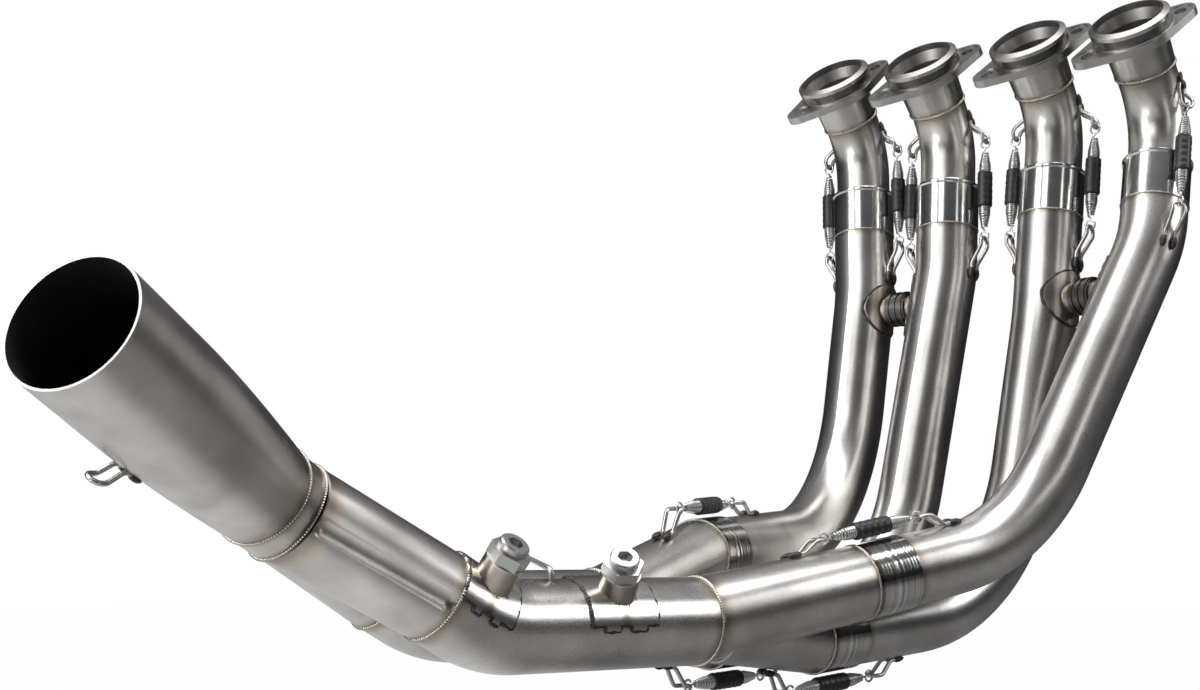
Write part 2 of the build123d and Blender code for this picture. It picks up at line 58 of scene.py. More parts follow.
# Floor: a pale board well under the header. It takes the header's shadow and goes
# white further off, and on the outlet's side it holds a white card for the metal.
floor_level = -0.72
floor_reach = 9.0
floor_grey = 0.24
floor_white = 0.90
glow_near = 0.68
glow_far = 0.99
shadow_radius = 0.7
white_radius = 3.2
card_edge = -0.42
card_end = -0.12
card_strength = 0.62


def graded(tree, low, high, least, most, soft=False):
    made = tree.nodes.new("ShaderNodeMapRange")
    made.inputs["From Min"].default_value = low
    made.inputs["From Max"].default_value = high
    made.inputs["To Min"].default_value = least
    made.inputs["To Max"].default_value = most
    if soft:
        made.interpolation_type = "SMOOTHSTEP"
    return made


def number_maths(tree, operation):
    made = tree.nodes.new("ShaderNodeMath")
    made.operation = operation
    return made


def vector_maths(tree, operation):
    made = tree.nodes.new("ShaderNodeVectorMath")
    made.operation = operation
    return made


floor_mesh = bpy.data.meshes.new("floor")
floor_mesh.from_pydata(
    [
        (-floor_reach, -floor_reach, floor_level),
        (floor_reach, -floor_reach, floor_level),
        (floor_reach, floor_reach, floor_level),
        (-floor_reach, floor_reach, floor_level),
    ],
    [],
    [(0, 1, 2, 3)],
)
floor = bpy.data.objects.new("floor", floor_mesh)
scene.collection.objects.link(floor)
floor_paint = bpy.data.materials.new("floor")
floor_paint.use_nodes = True
tree = floor_paint.node_tree
board = tree.nodes["Principled BSDF"]
board.inputs["Roughness"].default_value = 0.9
board.inputs["Specular IOR Level"].default_value = 0.1
glow = tree.nodes.new("ShaderNodeEmission")
glow.inputs["Color"].default_value = (1, 1, 1, 1)
ray = tree.nodes.new("ShaderNodeLightPath")
place = tree.nodes.new("ShaderNodeTexCoord")
tone = graded(tree, 0, 1, floor_grey, floor_white)
outward = vector_maths(tree, "LENGTH")
fading = graded(tree, shadow_radius, white_radius, glow_near, glow_far, soft=True)
share = number_maths(tree, "MULTIPLY")
sideways = vector_maths(tree, "DOT_PRODUCT")
sideways.inputs[1].default_value = right
card = graded(tree, card_edge, card_end, card_strength, 0.0, soft=True)
mirrored = number_maths(tree, "MULTIPLY")
either = number_maths(tree, "MAXIMUM")
blend = tree.nodes.new("ShaderNodeMixShader")
link = tree.links.new
link(ray.outputs["Is Camera Ray"], tone.inputs["Value"])
link(tone.outputs[0], board.inputs["Base Color"])
link(place.outputs["Object"], outward.inputs[0])
link(outward.outputs["Value"], fading.inputs["Value"])
link(fading.outputs[0], share.inputs[1])
link(ray.outputs["Is Camera Ray"], share.inputs[0])
link(place.outputs["Object"], sideways.inputs[0])
link(sideways.outputs["Value"], card.inputs["Value"])
link(card.outputs[0], mirrored.inputs[0])
link(ray.outputs["Is Glossy Ray"], mirrored.inputs[1])
link(share.outputs[0], either.inputs[0])
link(mirrored.outputs[0], either.inputs[1])
link(either.outputs[0], blend.inputs[0])
link(board.outputs[0], blend.inputs[1])
link(glow.outputs[0], blend.inputs[2])
link(blend.outputs[0], tree.nodes["Material Output"].inputs["Surface"])
floor_mesh.materials.append(floor_paint)

# Room: white behind the header, but dim and grey to the metal, with a lighter
# ceiling, so that the tubes keep their dark edges.
wall_grey = (0.012, 0.012, 0.0125, 1)
ceiling_grey = (0.24, 0.24, 0.245, 1)
world = bpy.data.worlds.new("room")
scene.world = world
world.use_nodes = True
tree = world.node_tree
room = tree.nodes["Background"]
place = tree.nodes.new("ShaderNodeTexCoord")
split = tree.nodes.new("ShaderNodeSeparateXYZ")
lift = graded(tree, -1.0, 1.0, 0.0, 1.0)
ramp = tree.nodes.new("ShaderNodeValToRGB")
ramp.color_ramp.elements[0].position = 0.6
ramp.color_ramp.elements[0].color = wall_grey
ramp.color_ramp.elements[1].position = 1.0
ramp.color_ramp.elements[1].color = ceiling_grey
backdrop = tree.nodes.new("ShaderNodeBackground")
backdrop.inputs["Color"].default_value = (1, 1, 1, 1)
ray = tree.nodes.new("ShaderNodeLightPath")
blend = tree.nodes.new("ShaderNodeMixShader")
link = tree.links.new
link(place.outputs["Generated"], split.inputs[0])
link(split.outputs["Z"], lift.inputs["Value"])
link(lift.outputs[0], ramp.inputs[0])
link(ramp.outputs[0], room.inputs["Color"])
link(ray.outputs["Is Camera Ray"], blend.inputs[0])
link(room.outputs[0], blend.inputs[1])
link(backdrop.outputs[0], blend.inputs[2])
link(blend.outputs[0], tree.nodes["World Output"].inputs["Surface"])

# Softboxes: a tall key and a low one at the left, one in front, two at the right for
# the streaks along the tubes, and a long one overhead. Width, height and watts each.
aim = Vector((-0.33, 0.02, -0.25))
for name, offset, width, height, watts in (
    ("key", -right * 1.25 - ahead * 0.4 + above * 0.7, 0.4, 1.3, 15),
    ("side", -right * 1.2 - ahead * 0.85 - above * 0.42, 0.75, 0.6, 9),
    ("front", -right * 0.9 - ahead * 1.2 + above * 1.1, 0.6, 1.0, 4),
    ("strip", right * 1.35 - ahead * 0.1 + above * 0.6, 0.5, 0.65, 4.6),
    ("slit", right * 1.0 - ahead * 1.15 + above * 0.35, 0.1, 1.3, 1.6),
    ("overhead", above * 1.5 + ahead * 0.05, 2.2, 0.65, 29),
):
    light_data = bpy.data.lights.new(name, "AREA")
    light_data.shape = "RECTANGLE"
    light_data.size = width
    light_data.size_y = height
    light_data.energy = watts
    light = bpy.data.objects.new(name, light_data)
    scene.collection.objects.link(light)
    light.location = aim + offset
    light.rotation_mode = "QUATERNION"
    light.rotation_quaternion = (-offset).to_track_quat("-Z", "Y")

# Port stubs: turned titanium mouths with a bevelled lip, one for each cylinder, each
# welded to the pipe below it, with painted shade inside and on the lip's bevel. Pipe 1 is the leftmost.
port_y = {1: 0.118, 2: 0.043, 3: -0.043, 4: -0.118}
mouth = {k: Vector((0, y, 0)) for k, y in port_y.items()}
in_port = Vector((0.6427876, 0, -0.7660444))
stub_length = 0.040
stub_foot = {k: mouth[k] + in_port * stub_length for k in mouth}


def add_sockets(group, side, kinds):
    for name, kind in kinds:
        group.interface.new_socket(name=name, in_out=side, socket_type=f"NodeSocket{kind}")


# The finish that every titanium piece shares: a fine grain from brushing, a slow
# clouding of the tone and, where a weld is near, straw and brown heat tint.
brushed = bpy.data.node_groups.new("brushed_titanium", "ShaderNodeTree")
add_sockets(brushed, "INPUT", (("Tone", "Color"), ("Rough", "Float"), ("Heat", "Float"), ("Grain", "Float")))
add_sockets(brushed, "OUTPUT", (("Color", "Color"), ("Roughness", "Float"), ("Normal", "Vector")))
given = brushed.nodes.new("NodeGroupInput")
result = brushed.nodes.new("NodeGroupOutput")
place = brushed.nodes.new("ShaderNodeTexCoord")
fine = brushed.nodes.new("ShaderNodeTexNoise")
fine.inputs["Scale"].default_value = 1400.0
fine.inputs["Detail"].default_value = 2.0
fine.inputs["Roughness"].default_value = 0.5
cloud = brushed.nodes.new("ShaderNodeTexNoise")
cloud.inputs["Scale"].default_value = 26.0
cloud.inputs["Detail"].default_value = 5.0
clouding = graded(brushed, 0.35, 0.65, 0.80, 1.14)
speck = graded(brushed, 0.3, 0.7, 0.975, 1.025)
unevenness = graded(brushed, 0.3, 0.7, -0.02, 0.03)
shade = number_maths(brushed, "MULTIPLY")
rough = number_maths(brushed, "ADD")
tint_ramp = brushed.nodes.new("ShaderNodeValToRGB")
tint_ramp.color_ramp.elements[0].position = 0.05
tint_ramp.color_ramp.elements[0].color = (1, 1, 1, 1)
tint_ramp.color_ramp.elements[1].position = 1.0
tint_ramp.color_ramp.elements[1].color = (0.55, 0.52, 0.50, 1)
for position, colour in ((0.35, (0.99, 0.955, 0.91, 1)), (0.68, (0.85, 0.775, 0.70, 1))):
    tint_ramp.color_ramp.elements.new(position).color = colour
tinted = brushed.nodes.new("ShaderNodeMix")
tinted.data_type = "RGBA"
tinted.blend_type = "MULTIPLY"
tinted.inputs["Factor"].default_value = 1.0
shaded_tone = vector_maths(brushed, "SCALE")
scratches = brushed.nodes.new("ShaderNodeBump")
scratches.inputs["Distance"].default_value = 0.00006
link = brushed.links.new
link(place.outputs["Object"], fine.inputs["Vector"])
link(place.outputs["Object"], cloud.inputs["Vector"])
link(cloud.outputs[0], clouding.inputs["Value"])
link(fine.outputs[0], speck.inputs["Value"])
link(clouding.outputs[0], shade.inputs[0])
link(speck.outputs[0], shade.inputs[1])
link(given.outputs["Heat"], tint_ramp.inputs[0])
link(given.outputs["Tone"], tinted.inputs[6])
link(tint_ramp.outputs[0], tinted.inputs[7])
link(tinted.outputs[2], shaded_tone.inputs[0])
link(shade.outputs[0], shaded_tone.inputs["Scale"])
link(fine.outputs[0], unevenness.inputs["Value"])
link(unevenness.outputs[0], rough.inputs[0])
link(given.outputs["Rough"], rough.inputs[1])
link(fine.outputs[0], scratches.inputs["Height"])
link(given.outputs["Grain"], scratches.inputs["Strength"])
link(shaded_tone.outputs[0], result.inputs["Color"])
link(rough.outputs[0], result.inputs["Roughness"])
link(scratches.outputs[0], result.inputs["Normal"])

# The heat tint of one weld: strongest in the weld's own plane, with a ragged edge to
# both sides. Each weld is given by its centre, its axis, the width of the tint along
# the tube, and how far out from the centre it reaches.
heat = bpy.data.node_groups.new("weld_heat", "ShaderNodeTree")
add_sockets(heat, "INPUT", (("Centre", "Vector"), ("Axis", "Vector"), ("Width", "Float"), ("Reach", "Float")))
add_sockets(heat, "INPUT", (("So far", "Float"),))
add_sockets(heat, "OUTPUT", (("Heat", "Float"),))
given = heat.nodes.new("NodeGroupInput")
result = heat.nodes.new("NodeGroupOutput")
place = heat.nodes.new("ShaderNodeTexCoord")
away = vector_maths(heat, "SUBTRACT")
along = vector_maths(heat, "DOT_PRODUCT")
side = number_maths(heat, "ABSOLUTE")
ragged = heat.nodes.new("ShaderNodeTexNoise")
ragged.inputs["Scale"].default_value = 70.0
ragged.inputs["Detail"].default_value = 3.0
spread = graded(heat, 0, 1, 0.35, 1.6)
band = number_maths(heat, "MULTIPLY")
fade = graded(heat, 0, 1, 1.0, 0.0, soft=True)
span = vector_maths(heat, "LENGTH")
near_by = number_maths(heat, "LESS_THAN")
both = number_maths(heat, "MULTIPLY")
most = number_maths(heat, "MAXIMUM")
link = heat.links.new
link(place.outputs["Object"], away.inputs[0])
link(given.outputs["Centre"], away.inputs[1])
link(away.outputs[0], along.inputs[0])
link(given.outputs["Axis"], along.inputs[1])
link(along.outputs["Value"], side.inputs[0])
link(place.outputs["Object"], ragged.inputs["Vector"])
link(ragged.outputs[0], spread.inputs["Value"])
link(given.outputs["Width"], band.inputs[0])
link(spread.outputs[0], band.inputs[1])
link(side.outputs[0], fade.inputs["Value"])
link(band.outputs[0], fade.inputs["From Max"])
link(away.outputs[0], span.inputs[0])
link(span.outputs["Value"], near_by.inputs[0])
link(given.outputs["Reach"], near_by.inputs[1])
link(fade.outputs[0], both.inputs[0])
link(near_by.outputs[0], both.inputs[1])
link(both.outputs[0], most.inputs[0])
link(given.outputs["So far"], most.inputs[1])
link(most.outputs[0], result.inputs["Heat"])


def titanium(name, colour, roughness, grain=0.02, welds=()):
    made = bpy.data.materials.new(name)
    made.use_nodes = True
    own = made.node_tree
    surface = own.nodes["Principled BSDF"]
    surface.inputs["Metallic"].default_value = 1.0
    finish = own.nodes.new("ShaderNodeGroup")
    finish.node_tree = brushed
    finish.inputs["Tone"].default_value = (*colour, 1)
    finish.inputs["Rough"].default_value = roughness
    finish.inputs["Grain"].default_value = grain
    so_far = None
    for centre, axis, width, reach in welds:
        one = own.nodes.new("ShaderNodeGroup")
        one.node_tree = heat
        one.inputs["Centre"].default_value = centre
        one.inputs["Axis"].default_value = axis
        one.inputs["Width"].default_value = width
        one.inputs["Reach"].default_value = reach
        if so_far is not None:
            own.links.new(so_far, one.inputs["So far"])
        so_far = one.outputs["Heat"]
    if so_far is not None:
        own.links.new(so_far, finish.inputs["Heat"])
    own.links.new(finish.outputs["Color"], surface.inputs["Base Color"])
    own.links.new(finish.outputs["Roughness"], surface.inputs["Roughness"])
    own.links.new(finish.outputs["Normal"], surface.inputs["Normal"])
    return made


def paint(node, material):
    mesh = nodes[node].data
    mesh.materials.clear()
    mesh.materials.append(material)
    mesh.polygons.foreach_set("material_index", [0] * len(mesh.polygons))


turned_in = -0.3


def paint_inside(node, origin, axis, material):
    mesh = nodes[node].data
    mesh.materials.append(material)
    number = len(mesh.materials) - 1
    for face in mesh.polygons:
        away = face.center - origin
        radial = away - axis * away.dot(axis)
        if face.normal.dot(radial) < turned_in * radial.length:
            face.material_index = number


lip_bevel = 0.0021
stub_colour = (0.60, 0.585, 0.56)
# Painted shade: the bore of each stub and the bevel of its lip are coloured dark.
bore_and_lip_shade = titanium("painted_bore_and_lip_shade", (0.30, 0.285, 0.27), roughness=0.4, grain=0.4)
for k in mouth:
    tint = [(stub_foot[k], in_port, 0.009, 0.035)]
    turned = titanium(f"stub_{k}", stub_colour, roughness=0.24, grain=0.06, welds=tint)
    paint(f"port_stub_{k}", turned)
    paint_inside(f"port_stub_{k}", mouth[k], in_port, bore_and_lip_shade)
    # The lip's bevel takes the same painted shade as the bore.
    for face in nodes[f"port_stub_{k}"].data.polygons:
        depth = (face.center - mouth[k]).dot(in_port)
        if depth < lip_bevel and face.normal.dot(in_port) < turned_in:
            face.material_index = 1

# Port flanges: machined plates with two ears and a turned boss, loose on their stubs.
# The boss is cut back to a waist, painted dark as the shade under the stub's lip.
waist_radius = (0.0248, 0.0263)
turned_out = 0.8
plate = titanium("flange_plate", (0.50, 0.49, 0.47), roughness=0.3, grain=0.25)
# Painted shade: the waist of each boss is coloured dark where the lip's shadow would fall.
painted_waist_shade = titanium("flange_waist_painted_shade", (0.16, 0.155, 0.15), roughness=0.34, grain=0.1)
for k in mouth:
    paint(f"port_flange_{k}", plate)
    flange_mesh = nodes[f"port_flange_{k}"].data
    flange_mesh.materials.append(painted_waist_shade)
    for face in flange_mesh.polygons:
        away = face.center - mouth[k]
        radial = away - in_port * away.dot(in_port)
        faces_out = face.normal.dot(radial) > turned_out * radial.length
        if faces_out and waist_radius[0] < radial.length < waist_radius[1]:
            face.material_index = 1

# Upper pipes: short bends of thin brushed tube, welded to the stubs and sliding into
# the sleeves below. Each turns from the port's angle to its primary's line.
upper_radius = 0.020
corner = {
    1: Vector((0.0426, 0.118, -0.0508)),
    2: Vector((0.0424, 0.043, -0.0506)),
    3: Vector((0.0431, -0.043, -0.0513)),
    4: Vector((0.0501, -0.118, -0.0598)),
}
drop = {
    1: Vector((-0.15, -0.09, -1)).normalized(),
    2: Vector((-0.15, -0.04, -1)).normalized(),
    3: Vector((-0.18, 0, -1)).normalized(),
    4: Vector((-0.34, -0.04, -1)).normalized(),
}
for k in mouth:
    tint = [(stub_foot[k], in_port, 0.012, 0.035)]
    paint(f"upper_pipe_{k}", titanium(f"upper_tube_{k}", stub_colour, roughness=0.3, welds=tint))

# Primary pipes: long bent titanium tubes, brushed, that drop from the slip joints and
# sweep back under the engine. They are tinted at the sleeve and at the lower joint.
primary_radius = 0.02225
sleeve_length = 0.034
lower_sleeve = 0.032
joint_drop = {1: 0.038, 2: 0.041, 3: 0.041, 4: 0.037}
joint = {k: corner[k] + drop[k] * joint_drop[k] for k in mouth}
elbow = {
    1: Vector((0.001, 0.1165, -0.3472)),
    2: Vector((-0.021, 0.0624, -0.4014)),
    3: Vector((0.005, -0.0138, -0.3952)),
    4: Vector((-0.070, -0.0644, -0.3536)),
}
inlet = {
    1: Vector((-0.222, 0.0827, -0.3624)),
    2: Vector((-0.222, 0.075, -0.4097)),
    3: Vector((-0.187, 0.0222, -0.4122)),
    4: Vector((-0.187, -0.0145, -0.3784)),
}
into = {k: (inlet[k] - elbow[k]).normalized() for k in inlet}
for k in mouth:
    tint = [
        (joint[k] + drop[k] * sleeve_length, drop[k], 0.007, 0.04),
        (inlet[k] - into[k] * lower_sleeve, into[k], 0.01, 0.045),
    ]
    primary_tube = titanium(f"primary_tube_{k}", (0.62, 0.605, 0.585), roughness=0.29, welds=tint)
    paint(f"primary_pipe_{k}", primary_tube)

# Crossover tubes: a wrapped saddle with a short neck on each primary, browned by the
# weld all round it, and a ribbed dark sleeve that joins the two necks of a pair.
crossover_level = {1: -0.181, 2: -0.181, 3: -0.186, 4: -0.186}
for k in mouth:
    crossing = joint[k] + drop[k] * ((crossover_level[k] - joint[k].z) / drop[k].z)
    tint = [(crossing, drop[k], 0.02, 0.05)]
    wrapped = titanium(f"saddle_tube_{k}", (0.56, 0.54, 0.51), roughness=0.32, grain=0.1, welds=tint)
    paint(f"crossover_saddle_{k}", wrapped)
coupling = titanium("coupling_sleeve", (0.13, 0.12, 0.115), roughness=0.3, grain=0.1)
for name in ("near", "far"):
    paint(f"crossover_coupling_{name}", coupling)

# Slip sleeves: turned collars that the pipes slide into. The upper ones are polished,
# the lower ones keep uneven rings from the lathe.
lathe = bpy.data.node_groups.new("lathe_rings", "ShaderNodeTree")
add_sockets(lathe, "INPUT", (("Color", "Color"), ("Normal", "Vector")))
add_sockets(lathe, "INPUT", (("Centre", "Vector"), ("Axis", "Vector")))
add_sockets(lathe, "OUTPUT", (("Color", "Color"), ("Normal", "Vector")))
given = lathe.nodes.new("NodeGroupInput")
result = lathe.nodes.new("NodeGroupOutput")
place = lathe.nodes.new("ShaderNodeTexCoord")
away = vector_maths(lathe, "SUBTRACT")
along = vector_maths(lathe, "DOT_PRODUCT")
groove = lathe.nodes.new("ShaderNodeTexNoise")
groove.noise_dimensions = "1D"
groove.inputs["Scale"].default_value = 260.0
groove.inputs["Detail"].default_value = 1.0
band = graded(lathe, 0.35, 0.65, 0.45, 1.1)
stain = vector_maths(lathe, "SCALE")
ridge = lathe.nodes.new("ShaderNodeBump")
ridge.inputs["Strength"].default_value = 0.6
ridge.inputs["Distance"].default_value = 0.0003
link = lathe.links.new
link(place.outputs["Object"], away.inputs[0])
link(given.outputs["Centre"], away.inputs[1])
link(away.outputs[0], along.inputs[0])
link(given.outputs["Axis"], along.inputs[1])
link(along.outputs["Value"], groove.inputs["W"])
link(groove.outputs[0], band.inputs["Value"])
link(given.outputs["Color"], stain.inputs[0])
link(band.outputs[0], stain.inputs["Scale"])
link(groove.outputs[0], ridge.inputs["Height"])
link(given.outputs["Normal"], ridge.inputs["Normal"])
link(stain.outputs[0], result.inputs["Color"])
link(ridge.outputs[0], result.inputs["Normal"])


def turn_on_lathe(made, centre, axis):
    own = made.node_tree
    surface = own.nodes["Principled BSDF"]
    rings = own.nodes.new("ShaderNodeGroup")
    rings.node_tree = lathe
    rings.inputs["Centre"].default_value = centre
    rings.inputs["Axis"].default_value = axis
    for name, socket in (("Color", "Base Color"), ("Normal", "Normal")):
        before = surface.inputs[socket].links[0].from_socket
        own.links.new(before, rings.inputs[name])
        own.links.new(rings.outputs[name], surface.inputs[socket])


collar_colour = (0.72, 0.705, 0.68)
polished = titanium("polished_collar", (0.78, 0.77, 0.75), roughness=0.15)
for k in mouth:
    paint(f"slip_sleeve_{k}", polished)
    tint = [(inlet[k], into[k], 0.006, 0.04)]
    lower_collar = titanium(f"lower_collar_{k}", collar_colour, roughness=0.14, grain=0.05, welds=tint)
    turn_on_lathe(lower_collar, inlet[k], into[k])
    paint(f"collector_sleeve_{k}", lower_collar)

# Collectors and secondaries: each pair of primaries runs into one larger tube, and the
# two larger tubes lie side by side under the engine and then climb together.
pairs = {"near": (4, 3), "far": (1, 2)}
secondary_radius = 0.02525
secondary_spacing = 0.052
far_setback = 0.034
far_lift = 0.004
secondary_run = 0.147
secondary_tail = 0.035
up = Vector((0, 0, 1))
swing = math.radians(12.0)
rise = math.radians(29.4)
run_dir = Vector((-math.cos(swing), math.sin(swing), 0))
side_dir = Vector((math.sin(swing), math.cos(swing), 0))
climb = run_dir * math.cos(rise) + up * math.sin(rise)
start = {"near": Vector((-0.300, 0.026, -0.399))}
start["far"] = start["near"] + side_dir * secondary_spacing + run_dir * far_setback + up * far_lift
bend = {"near": start["near"] + run_dir * secondary_run}
bend["far"] = bend["near"] + side_dir * secondary_spacing + up * far_lift
tail = {name: bend[name] + climb * secondary_tail for name in pairs}
for name, (first, second) in pairs.items():
    tint = [
        (inlet[first], into[first], 0.008, 0.04),
        (inlet[second], into[second], 0.008, 0.04),
        (start[name], run_dir, 0.014, 0.04),
    ]
    collector_tube = titanium(f"{name}_collector_tube", (0.61, 0.59, 0.565), roughness=0.29, welds=tint)
    paint(f"{name}_collector", collector_tube)
    tint = [(start[name], run_dir, 0.010, 0.04), (tail[name], climb, 0.012, 0.045)]
    secondary_tube = titanium(f"{name}_secondary_tube", (0.62, 0.60, 0.575), roughness=0.28, welds=tint)
    paint(f"{name}_secondary", secondary_tube)

# Outlet: the final collector, a short mitred ring and a long cone, welded end to end.
# The bore is painted near black as shade, and the cut edge of the mouth is left bare.
collector_length = 0.0835
ring_length = 0.018
cone_length = 0.170
rim_depth = 0.0002
square_to_rim = 0.95
yaw = math.radians(18.8)
pitch = math.radians(23.9)
gather = (tail["near"] + tail["far"]) * 0.5 + climb * collector_length
out_dir = Vector((-math.cos(yaw) * math.cos(pitch), -math.sin(yaw) * math.cos(pitch), math.sin(pitch)))
ring_dir = (climb + out_dir).normalized()
ring_end = gather + ring_dir * ring_length
mitre_in = (climb + ring_dir).normalized()
mitre_out = (ring_dir + out_dir).normalized()
tint = [
    (tail["near"], climb, 0.010, 0.04),
    (tail["far"], climb, 0.010, 0.04),
    (gather, mitre_in, 0.014, 0.045),
]
paint("final_collector", titanium("final_collector_tube", (0.63, 0.61, 0.585), roughness=0.3, welds=tint))
tint = [(gather, mitre_in, 0.006, 0.045), (ring_end, mitre_out, 0.006, 0.045)]
paint("mitre_ring", titanium("mitre_tube", (0.60, 0.575, 0.545), roughness=0.3, welds=tint))
tint = [(ring_end, mitre_out, 0.016, 0.045)]
paint("outlet_cone", titanium("cone_tube", (0.58, 0.56, 0.535), roughness=0.31, welds=tint))
# Painted shade: the bore of the cone and of the mitred ring is coloured near black.
outlet_bore_painted_shade = titanium("outlet_bore_painted_shade", (0.10, 0.097, 0.093), roughness=0.5, grain=0.5)
cone_mesh = nodes["outlet_cone"].data
cone_mesh.materials.append(titanium("outlet_rim", (0.30, 0.29, 0.28), roughness=0.42, grain=0.05))
for face in cone_mesh.polygons:
    at_end = (face.center - ring_end).dot(out_dir) > cone_length - rim_depth
    if at_end and face.normal.dot(out_dir) > square_to_rim:
        face.material_index = 1
paint_inside("outlet_cone", ring_end, out_dir, outlet_bore_painted_shade)
paint_inside("mitre_ring", ring_end, ring_dir, outlet_bore_painted_shade)

# Sensor bosses: a thin saddle with a toothed edge, a turned bung welded through it and
# a plated hexagon plug screwed in. One sits on the run, one on the climb.
boss_along_run = 0.071
boss_along_climb = 0.0175
boss_place = {
    "near": (start["near"] + run_dir * boss_along_run, run_dir),
    "far": (bend["near"] + climb * boss_along_climb, climb),
}
plated = bpy.data.materials.new("plated_plug")
plated.use_nodes = True
surface = plated.node_tree.nodes["Principled BSDF"]
surface.inputs["Base Color"].default_value = (0.50, 0.495, 0.485, 1)
surface.inputs["Metallic"].default_value = 1.0
surface.inputs["Roughness"].default_value = 0.36
for name, (centre, along_tube) in boss_place.items():
    tint = [(centre, along_tube, 0.006, 0.045)]
    toothed = titanium(f"boss_saddle_{name}", (0.70, 0.68, 0.65), roughness=0.24, grain=0.1, welds=tint)
    bung = titanium(f"boss_bung_{name}", (0.42, 0.37, 0.32), roughness=0.3, grain=0.2)
    paint(f"lambda_saddle_{name}", toothed)
    paint(f"lambda_bung_{name}", bung)
    paint(f"lambda_plug_{name}", plated)

# Strap: one bent titanium rod, welded at both ends across the tops of the secondaries.
# The hooks are bent from the same rod.
rod = titanium("welding_rod", (0.50, 0.485, 0.46), roughness=0.3, grain=0.2)
paint("secondary_strap", rod)

# Hooks: each is a loop of bent rod with two legs that run down to the tube and are
# welded along it. There are two pairs at each slip joint, and one pair at each lower one.


def line_of(points, radii, step=0.003):
    line = [points[0]]
    for number, radius in enumerate(radii, 1):
        before = (points[number] - points[number - 1]).normalized()
        after = (points[number + 1] - points[number]).normalized()
        turn = before.angle(after)
        reach = radius * math.tan(turn / 2)
        inward = (after - before * after.dot(before)).normalized()
        foot = points[number] - before * reach
        count = max(6, int(radius * turn / step))
        for part in range(count + 1):
            angle = turn * part / count
            line.append(foot + (before * math.sin(angle) + inward * (1 - math.cos(angle))) * radius)
    line.append(points[-1])
    full = [line[0]]
    for point in line[1:]:
        gap = (point - full[-1]).length
        last = full[-1].copy()
        for part in range(1, int(gap / step) + 1):
            full.append(last.lerp(point, part * step / gap))
        if (point - full[-1]).length > 1e-5:
            full.append(point)
    return full


def strand(mesh, path, radius, sides=8, closed=False):
    count = len(path)
    sizes = radius if isinstance(radius, list) else [radius] * count
    rings = []
    across = None
    for number, point in enumerate(path):
        if closed:
            run = path[(number + 1) % count] - path[number - 1]
        else:
            run = path[min(number + 1, count - 1)] - path[max(number - 1, 0)]
        run.normalize()
        if across is None:
            across = run.orthogonal().normalized()
        across = (across - run * across.dot(run)).normalized()
        other = run.cross(across)
        ring = []
        for spoke in range(sides):
            turn = math.tau * spoke / sides
            reach = across * math.cos(turn) + other * math.sin(turn)
            ring.append(mesh.verts.new(point + reach * sizes[number]))
        rings.append(ring)
    bands = list(zip(rings, rings[1:]))
    if closed:
        first = rings[0]
        shift = min(range(sides), key=lambda s: (rings[-1][0].co - first[s].co).length)
        bands.append((rings[-1], first[shift:] + first[:shift]))
    for one, two in bands:
        for spoke in range(sides):
            after = (spoke + 1) % sides
            mesh.faces.new((one[spoke], one[after], two[after], two[spoke]))
    if not closed:
        mesh.faces.new(list(reversed(rings[0])))
        mesh.faces.new(rings[-1])


def piece(name, mesh, material, replaced=()):
    data = bpy.data.meshes.new(name)
    bmesh.ops.recalc_face_normals(mesh, faces=mesh.faces)
    mesh.to_mesh(data)
    mesh.free()
    data.polygons.foreach_set("use_smooth", [True] * len(data.polygons))
    data.materials.append(material)
    made = bpy.data.objects.new(name, data)
    scene.collection.objects.link(made)
    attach(made, "root")
    if replaced:
        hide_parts(*replaced)


rod_radius = 0.00135
hook_reach = 0.029
hook_half_width = 0.0048
hook_shoulder = 0.0065
leg_on_tube = 0.010
leg_end_spread = 1.15
leg_landing_spread = 1.1
leg_end_lift = 0.0011
leg_landing_lift = 0.0013
loop_bends = [0.004, 0.005, 0.004, 0.004, 0.005, 0.004]
loop_step = 0.0008
foot_places = (-0.25, 0.0, 0.25, 0.5, 0.72)
foot_sizes = [0.0007, 0.0018, 0.0022, 0.0019, 0.0009]


def skin_point(point, line, tube, lift):
    near = min(line, key=lambda c: (c - point).length)
    return near + (point - near).normalized() * (tube + lift)


def hook(mesh, feet, tip, outward, radial, line, tube, reach=hook_reach, half=hook_half_width):
    cross = outward.cross(radial).normalized() * half
    legs = []
    for side in (-1, 1):
        leg_end = tip + outward * reach + cross * side * leg_end_spread
        leg_bend = tip + outward * (reach - leg_on_tube) + cross * side * leg_landing_spread
        flat = skin_point(leg_end, line, tube, leg_end_lift)
        landing = skin_point(leg_bend, line, tube, leg_landing_lift)
        legs.append([flat, landing, tip + outward * hook_shoulder + cross * side, tip + cross * side])
        strand(feet, [flat.lerp(landing, share) for share in foot_places], foot_sizes)
    path = legs[0] + list(reversed(legs[1]))
    strand(mesh, line_of(path, loop_bends, loop_step), rod_radius)


spring_half_span = 0.037
upper_hook_reach = 0.023
lower_hook_reach = 0.026
spring_offset = 0.0306
spring_below_joint = 0.007
lower_spring_offset = 0.031
lower_spring_back = 0.016
spring_bearing = {1: 90.0, 2: 90.0, 3: 90.0, 4: 54.0}


def joint_springs(k):
    bearing = math.radians(spring_bearing[k])
    for sign in (1, -1):
        plan = Vector((math.cos(bearing), math.sin(bearing), 0)) * sign
        radial = (plan - drop[k] * plan.dot(drop[k])).normalized()
        yield joint[k] + drop[k] * spring_below_joint + radial * spring_offset, radial


def lower_radial(k):
    out = up if k in (1, 4) else -up
    return (out - into[k] * out.dot(into[k])).normalized()


